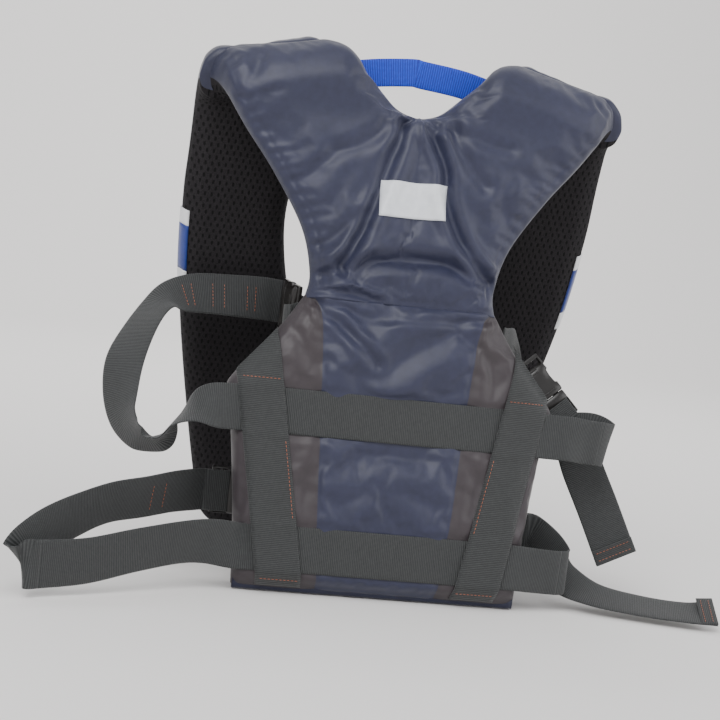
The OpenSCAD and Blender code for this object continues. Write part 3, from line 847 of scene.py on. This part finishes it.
# ---------------------------------------------------------------- buckles
class Buckle:
    """A buckle's own frame: x is the way the clip leaves, z lies across the webbing, and the
    socket's mouth is at 0. Everything in it is in millimetres."""

    def __init__(self, mouth, pull, across):
        self.mouth = np.array(mouth, float)
        self.x = np.array(pull, float) / np.linalg.norm(pull)
        across = np.array(across, float)
        across -= (across @ self.x) * self.x
        self.z = across / np.linalg.norm(across)
        self.y = np.cross(self.z, self.x)

    def point(self, x, y, z):
        return self.mouth + x * self.x + y * self.y + z * self.z

    def place(self, points):
        p = np.asarray(points, float)
        return (self.mouth + p[:, :1] * self.x + p[:, 1:2] * self.y + p[:, 2:] * self.z) * MM


BUCKLES = {
    "upper_left": Buckle((-92, 98, 244), (-0.1, 0.99, 0.06), (0, 0, 1)),
    "upper_right": Buckle((150, 62, 182), (0.66, -0.25, -0.71), (0.7, 0.1, 0.7)),
    "lower_left": Buckle((-124, 46, 78), (-1, 0.06, -0.02), (0, -0.25, 0.97)),
    "lower_right": Buckle((116, 44, 62), (1, 0.06, -0.08), (0, 0, 1)),
}
CLIP_LENGTH = 25
SOCKET_LENGTH = 32
ANCHOR_WIDTH = 22
BAR_GAP = 5
STRAP_LIFT = 3.2


def rounded_boxes(name, buckle, boxes, bevel=0.8):
    """Boxes given as (x0, x1, thickness, z0, z1) in a buckle's frame, with rounded edges."""
    verts, faces = [], []
    for x0, x1, thick, z0, z1 in boxes:
        first = len(verts)
        verts += [(x, y, z) for x in (x0, x1) for y in (-thick / 2, thick / 2) for z in (z0, z1)]
        faces += [tuple(first + i for i in f) for f in
                  ((0, 1, 3, 2), (4, 6, 7, 5), (0, 4, 5, 1), (2, 3, 7, 6), (0, 2, 6, 4), (1, 5, 7, 3))]
    placed = buckle.place(verts)
    obj = new_object(name, placed, faces, np.array(verts)[:, [0, 2]] * MM, [MAT["plastic"]])
    rounding = obj.modifiers.new("edges", "BEVEL")
    rounding.width = bevel * MM
    rounding.segments = 3
    rounding.limit_method = "ANGLE"
    return obj


def moulded(name, buckle, stations, power=3.2, sides=28):
    """A moulded body through stations of (x, half thickness, half width), rounded all round."""
    angles = np.linspace(0, 2 * math.pi, sides, endpoint=False)
    c, s = np.cos(angles), np.sin(angles)
    verts, faces = [], []
    for x, half_y, half_z in stations:
        for k in range(sides):
            y = math.copysign(abs(s[k]) ** (2 / power), s[k]) * half_y
            z = math.copysign(abs(c[k]) ** (2 / power), c[k]) * half_z
            verts.append((x, y, z))
    for r in range(len(stations) - 1):
        for k in range(sides):
            a, b = r * sides + k, r * sides + (k + 1) % sides
            faces.append((a, b, b + sides, a + sides))
    faces.append(tuple(reversed(range(sides))))
    faces.append(tuple((len(stations) - 1) * sides + k for k in range(sides)))
    obj = new_object(name, buckle.place(verts), faces, np.array(verts)[:, [0, 2]] * MM, [MAT["plastic"]])
    merge_close(obj)
    return obj


def build_buckle(name, buckle):
    level, side = name.split("_")
    body = f"{level}_clip_{side}"
    shell = moulded(f"{name}_socket_shell", buckle, [
        (-32, 1.4, 20.5), (-31.4, 3.6, 22.2), (-29, 5.2, 23.2), (-24, 5.9, 23.4), (-22.5, 5.9, 21.6),
        (-16, 6.0, 21.0), (-9.5, 6.0, 21.6), (-8, 6.0, 23.4), (-3, 6.0, 23.4),
        (-0.8, 5.6, 23.1), (0, 4.9, 22.4)])
    add_piece(shell, "back", "buckle_plastic", f"{level}_socket_{side}")
    ridges = rounded_boxes(f"{name}_socket_ridges", buckle, [
        (-30, -28.6, 12.4, -14, 14), (-26.5, -25.1, 12.6, -14, 14), (-5, -3.6, 12.8, -17, 17)], 0.4)
    add_piece(ridges, "back", "buckle_plastic")
    far = -SOCKET_LENGTH - BAR_GAP - 4
    bar = rounded_boxes(f"{name}_socket_bar", buckle, [
        (far, far + 4, 4, -23.4, 23.4), (far + 1, -30, 4, -23.4, -20.9),
        (far + 1, -30, 4, 20.9, 23.4)], 1.0)
    add_piece(bar, "back", "buckle_plastic")
    base = moulded(f"{name}_clip_base", buckle, [
        (0.4, 4.6, 21.8), (1.2, 5.4, 22.4), (5, 5.5, 22.5), (8.5, 4.2, 22.5), (10.2, 2.4, 22.4)])
    add_piece(base, body, "buckle_plastic", f"{level}_clip_{side}")
    frame_bars = rounded_boxes(f"{name}_clip_bars", buckle, [
        (8.5, CLIP_LENGTH, 4, -22.5, -20.8), (8.5, CLIP_LENGTH, 4, 20.8, 22.5),
        (CLIP_LENGTH - 4, CLIP_LENGTH, 4, -22.5, 22.5), (14.2, 16.6, 3.4, -22, 22)], 0.9)
    add_piece(frame_bars, body, "buckle_plastic")
    prongs = rounded_boxes(f"{name}_clip_prongs", buckle, [
        (-20, 1.4, 5.2, 12, 18), (-20, 1.4, 5.2, -18, -12), (-21, 1.4, 4.6, -3, 3)], 1.2)
    add_piece(prongs, body, "buckle_plastic")


def through_clip(buckle, lift, leads):
    """The last run of a strap over a clip's bar, or the first of a tail."""
    return [(tuple(buckle.point(x, lift, 0)), tuple(buckle.z)) for x in leads]


INTO_CLIP = (CLIP_LENGTH + 9, CLIP_LENGTH + 1, CLIP_LENGTH - 16)
SHORT_INTO_CLIP = (CLIP_LENGTH + 4, CLIP_LENGTH + 1, CLIP_LENGTH - 16)


def follow_clip(obj, buckle_name, lift):
    """Bakes a strap's placement into its mesh. It works out where the strap meets the clip's far bar, but nothing
    uses that point.
    """
    end = tuple(BUCKLES[buckle_name].point(CLIP_LENGTH + 1, lift, 0) * MM)
    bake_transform(obj)


def moving_strap(path, belt_end, buckle_name, lift, leads=INTO_CLIP):
    """A strap from a belt's end to a clip. belt_end holds the belt's knots up to the split."""
    level, side = buckle_name.split("_")
    whole = path + through_clip(BUCKLES[buckle_name], lift, leads)
    obj = strap(f"{buckle_name}_strap", whole, lead_in=belt_end)
    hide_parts(f"{level}_strap_{side}")
    follow_clip(obj, buckle_name, lift)
    return whole


def tack_rows(path, spots, half_width=13):
    """Stitch rows across a strap, on its side that faces backwards. spots are knot numbers."""
    centres, across, out = swept(path)
    rows = []
    for spot in spots:
        i = int(spot * 10)
        away = out[i] if out[i][1] < 0 else -out[i]
        middle = centres[i] + away * (WEB_THICK / 2 + 0.25) * MM
        rows.append([middle - across[i] * half_width * MM, middle + across[i] * half_width * MM])
    return rows


def build_straps(surface):
    belts = (
        ("upper", UPPER_LEFT_RUN, across_back(surface, UPPER_BELT, 138), UPPER_RIGHT_RUN,
         UPPER_LEFT_STRAP, UPPER_RIGHT_STRAP),
        ("lower", LOWER_LEFT_RUN, across_back(surface, LOWER_BELT, 126), LOWER_RIGHT_RUN,
         LOWER_LEFT_STRAP, LOWER_RIGHT_STRAP))
    for level, left_run, middle, right_run, left_strap, right_strap in belts:
        belt = strap(f"{level}_belt_webbing", left_run + middle + right_run,
                     lead_in=left_strap[2:0:-1], lead_out=right_strap[1:3])
        add_piece(belt, "back", "webbing", f"{level}_belt")
    upper_left = moving_strap(UPPER_LEFT_STRAP, UPPER_LEFT_RUN[2:0:-1], "upper_left", -STRAP_LIFT,
                              SHORT_INTO_CLIP)
    moving_strap(UPPER_RIGHT_STRAP, UPPER_RIGHT_RUN[:2], "upper_right", -STRAP_LIFT)
    lower_left = moving_strap(LOWER_LEFT_STRAP, LOWER_LEFT_RUN[2:0:-1], "lower_left", STRAP_LIFT)
    lower_right_belt = [across_back(surface, LOWER_BELT, 126)[-1], LOWER_RIGHT_RUN[0]]
    moving_strap(LOWER_RIGHT_STRAP, lower_right_belt, "lower_right", -STRAP_LIFT)
    tacks = stitches("upper_loop_tacks", tack_rows(upper_left, (8.5, 8.8, 9.4, 9.7, 10.4, 10.7)), body=None)
    follow_clip(tacks, "upper_left", -STRAP_LIFT)
    tacks = stitches("lower_loop_tacks", tack_rows(lower_left, (8.2, 8.6)), body=None)
    follow_clip(tacks, "lower_left", STRAP_LIFT)
    for level, path in (("upper", UPPER_TAIL), ("lower", LOWER_TAIL)):
        buckle = BUCKLES[f"{level}_right"]
        tail_path = through_clip(buckle, STRAP_LIFT, INTO_CLIP[::-1]) + path
        tail = strap(f"{level}_right_tail", tail_path)
        add_piece(tail, f"{level}_clip_right", "webbing", f"{level}_tail_right")
        hem = tail_hem(f"{level}_right_tail_hem", path)
        add_piece(hem, f"{level}_clip_right", "webbing")
    build_anchors()


def build_anchors():
    """Short straps that come out of the pad's side seam and hold the upper sockets."""
    for sign, side, lift in ((-1, "left", -STRAP_LIFT), (1, "right", STRAP_LIFT)):
        turn = 98 if sign < 0 else 112
        seam = [(tuple(wrap(sign * x, 241, -depth) / MM), (0, 0, 1)) for x, depth in
                ((97, 1), (102, 7), (turn, 20))]
        leads = [-SOCKET_LENGTH - BAR_GAP + x for x in (-9, -3, 1.5)]
        path = seam + through_clip(BUCKLES[f"upper_{side}"], lift, leads)
        anchor = strap(f"upper_{side}_anchor_webbing", path, ANCHOR_WIDTH)
        add_piece(anchor, "back", "webbing", f"upper_anchor_{side}")


def tail_hem(name, path):
    """The folded end of a free tail: a second layer sewn down with two rows of thread."""
    (a, _), (b, db) = path[-2:]
    a, b = np.array(a, float), np.array(b, float)
    along = (b - a) / np.linalg.norm(b - a)
    across = np.array(db, float)
    across -= (across @ along) * along
    across /= np.linalg.norm(across)
    out = np.cross(along, across)
    ends = (b - along * 14, b + along * 0.6)
    layer = [(tuple(end + out * 1.7), tuple(across)) for end in ends]
    obj = strap(name, layer, WEB_WIDTH + 0.3, 1.5)
    rows = []
    for back in (3.5, 10.5):
        for face in (2.6, -1.0):
            start = b - along * back + out * face
            rows.append([(start - across * 17) * MM, (start + across * 17) * MM])
    stitches(name + "_stitching", rows, body=name.split("_")[0] + "_clip_right")
    return obj


# ---------------------------------------------------------------- trim
def build_bands(surface):
    """The two vertical webbing bands, sewn down between the belts that pass under them."""
    for sign, side in ((-1, "left"), (1, "right")):
        rows = np.linspace(HEM_TOP - 2, 236, 84)
        cols = np.linspace(-0.5, 0.5, 11)
        x = band_centre(rows)[:, None] + WEB_WIDTH * cols[None, :]
        x = np.minimum(x, edge(SIDE_EDGE, rows)[:, None] + 1.5)
        s = np.repeat(rows[:, None], len(cols), 1)
        over = sum(smooth((WEB_WIDTH / 2 + 7 - np.abs(rows - b)) / 7) for b in (LOWER_BELT, UPPER_BELT))
        lift = np.repeat(0.2 + 2.4 * over[:, None], len(cols), 1)
        inner = np.minimum(x, edge(SIDE_EDGE, rows)[:, None] - 3)
        low = surface.at(sign * inner, s, lift)
        low[..., 0] = sign * x * MM
        top = surface.at(sign * inner, s, lift + WEB_THICK)
        top[..., 0] = sign * x * MM
        if sign < 0:
            top, low = top[:, ::-1], low[:, ::-1]
        obj = ribbon(f"webbing_band_{side}", top, low, cols * WEB_WIDTH * MM, rows * MM, MAT["web"])
        add_piece(obj, "back", "webbing", f"band_{side}")
        lines = []
        for level in (12, 63, 137, 185):
            near = np.linspace(-17, 17, 8) + band_centre(level)
            near = near[near < edge(SIDE_EDGE, level) - 2]
            lines.append(surface.at(sign * near, np.full(len(near), level), WEB_THICK + 0.5))
        edge_rows = np.linspace(66, 134, 16)
        edge_x = band_centre(edge_rows) - WEB_WIDTH / 2 + 3
        lines.append(surface.at(sign * edge_x, edge_rows, WEB_THICK + 0.5))
        stitches(f"band_stitching_{side}", lines)


def draped(name, surface, x, s, thick, material, lift=0.3):
    """A thin sheet laid over a pad's face."""
    top = surface.at(x, s, lift + thick)
    low = surface.at(x, s, lift)
    uv = np.stack([x, s], -1) * MM
    return closed_sheet(name, top, low, uv, [material])


def build_patch(surface):
    cols = np.linspace(-31, 29, 25)[None, :]
    rows = np.linspace(337, 369, 15)[:, None]
    tilt = 0.03 * cols
    x, s = np.broadcast_arrays(cols + 0 * rows, rows + tilt)
    patch = draped("reflective_patch_sheet", surface, x, s, 0.9, MAT["patch"])
    add_piece(patch, "back", "reflective", "reflective_patch")


def build_haul_loop():
    path = [((-72, 81.3, 456), (-0.16, 0, 1)), ((-40, 81.3, 463), (-0.1, 0, 1)),
            ((-6, 80.9, 467.4), (0, 0.03, 1)), ((4, 81.6, 466.6), (0, -0.03, 1)),
            ((40, 81.3, 463), (0.1, 0, 1)), ((72, 81.3, 456), (0.16, 0, 1))]
    loop = strap("haul_loop_webbing", path, 25, 2.0, MAT["haul"])
    add_piece(loop, "back", "haul_webbing", "haul_loop")


def build_hems():
    """Soft folded hems under the back and under both front panels."""
    height = np.linspace(1.2, 12, 12)[:, None]
    half = 1.2 + 3.2 * np.sqrt(np.clip(1 - ((height - 6.6) / 5.6) ** 2, 0, 1))
    spans = [("back", "back_hem", -126, 126)]
    spans += [("front", f"front_hem_{side}", *span) for side, span in
              (("left", (-117, -15)), ("right", (15, 117)))]
    for body, node, low, high in spans:
        x = np.linspace(low, high, 60)[None, :] + 0 * height
        ripple = half + 0.35 * np.sin(x / 5.5 + 2 * np.sin(x / 23)) + 0 * x
        path = height + 0 * x if body == "back" else front_path(x, height + 0 * x)
        uv = np.stack([x, height + 0 * x], -1) * MM
        hem = closed_sheet(node + "_fold", wrap(x, path, ripple), wrap(x, path, -ripple), uv, [MAT["hem"]])
        add_piece(hem, body, "hem_tape", node)


def build_stripes(surface):
    """Chest stripes, which turn round the panel's outer edge on to the lining."""
    for colour, bands in STRIPE_HEIGHTS.items():
        for sign, side in ((-1, "left"), (1, "right")):
            for number, (low, high) in enumerate(bands):
                rows = np.linspace(low, high, 12)[:, None]
                outer = edge(FRONT_OUTER, rows)
                inner = edge(FRONT_INNER, rows) + 3
                face_x = inner + (outer - 1.5 - inner) * np.linspace(0, 1, 34)[None, :]
                turn_x = outer - np.array([[1.5, 4, 7]])
                sheets = []
                for lift in (0.2, 0.9):
                    face = surface.at(sign * face_x, front_path(face_x, rows + 0 * face_x), lift)
                    rim = wrap(sign * (outer + 0.6 + lift), front_path(outer, rows), 0)
                    turn = surface.at(sign * turn_x, front_path(turn_x, rows + 0 * turn_x), lift, side=-1)
                    sheets.append(np.concatenate([face, rim, turn], 1))
                x = np.concatenate([face_x, outer, 2 * outer - turn_x], 1)
                uv = np.stack([x, rows + 0 * x], -1) * MM
                name = f"stripe_{colour}_{side}_{number}"
                stripe = closed_sheet(name, sheets[1], sheets[0], uv, [MAT[colour]])
                add_piece(stripe, "front", f"stripe_{colour}", *stripe_nodes(colour, side, number))


def stripe_nodes(colour, side, number):
    """The first piece of a stripe stands for its CAD node."""
    return (f"chest_stripe_{colour}_{side}",) if number == 0 else ()


SLOT_MATERIALS = {
    "webbing": "web", "haul_webbing": "haul", "buckle_plastic": "plastic", "zip_plastic": "zip",
    "hem_tape": "hem", "reflective": "patch", "stripe_white": "white", "stripe_blue": "blue",
    "navy_nylon": "navy", "taupe_nylon": "taupe", "spacer_mesh": "mesh", "foam": "mesh",
}


def paint_cad():
    """Gives every CAD node that still shows its finished material."""
    for part in frame["record"]["subparts"]:
        key = SLOT_MATERIALS[part["material_slot"]]
        for material_slot in frame["nodes"][part["node"]].material_slots:
            material_slot.material = MAT[key]


# ---------------------------------------------------------------- stage, lights and camera
def build_cove():
    """A seamless backdrop: a floor that curves up into a wall."""
    bend, radius = 2.6, 1.8
    profile = [(-4.0, 0.0), (bend, 0.0)]
    profile += [(bend + radius * math.sin(a), radius - radius * math.cos(a))
                for a in np.linspace(0, math.pi / 2, 24)[1:]]
    profile.append((bend + radius, 5.0))
    width = 7.0
    verts = [(x, y, z) for y, z in profile for x in (-width, width)]
    faces = [(2 * i, 2 * i + 1, 2 * i + 3, 2 * i + 2) for i in range(len(profile) - 1)]
    n = Nodes("cove_paint", 0.9)
    n.shader.inputs["Base Color"].default_value = (0.80, 0.785, 0.77, 1)
    cove = new_object("cove", verts, faces, None, [n.material])
    world = bpy.data.worlds.new("studio")
    bpy.context.scene.world = world
    world.use_nodes = True
    world.node_tree.nodes["Background"].inputs[0].default_value = (0.95, 0.95, 0.97, 1)
    world.node_tree.nodes["Background"].inputs[1].default_value = 0.95


def add_light(name, place, target, size, power):
    data = bpy.data.lights.new(name, "AREA")
    data.size = size
    data.energy = power
    obj = bpy.data.objects.new(name, data)
    obj.location = place
    obj.rotation_euler = (Vector(target) - Vector(place)).to_track_quat("-Z", "Y").to_euler()
    bpy.context.scene.collection.objects.link(obj)


def build_camera():
    azimuth, elevation, roll = math.radians(-10), math.radians(5), math.radians(6.8)
    distance = 1.49
    target = Vector((-0.019, 0.1, 0.201))
    back = Vector((math.sin(azimuth) * math.cos(elevation), -math.cos(azimuth) * math.cos(elevation),
                   math.sin(elevation)))
    data = bpy.data.cameras.new("camera")
    data.lens = 80
    data.sensor_width = 36
    camera = bpy.data.objects.new("camera", data)
    camera.location = target + back * distance
    turn = (-back).to_track_quat("-Z", "Y").to_matrix() @ Matrix.Rotation(roll, 3, "Z")
    camera.rotation_euler = turn.to_euler()
    bpy.context.scene.collection.objects.link(camera)
    bpy.context.scene.camera = camera


back_pads = [lower_back(), yoke()]
front_pads = [front_pad(-1, "left"), front_pad(1, "right")]
pad_surface = Surface(*back_pads)
build_bands(pad_surface)
build_straps(pad_surface)
build_patch(pad_surface)
build_haul_loop()
build_hems()
build_stripes(Surface(*front_pads))
for buckle_name, placed_buckle in BUCKLES.items():
    build_buckle(buckle_name, placed_buckle)
paint_cad()

build_cove()
add_light("key", (-0.9, -1.6, 1.9), (0, 0.1, 0.25), 1.6, 50)
add_light("fill", (1.9, -1.0, 1.0), (0, 0.1, 0.25), 1.8, 20)
add_light("back_wash", (0, 1.4, 2.6), (0, 3.8, 0.9), 2.0, 66)
build_camera()
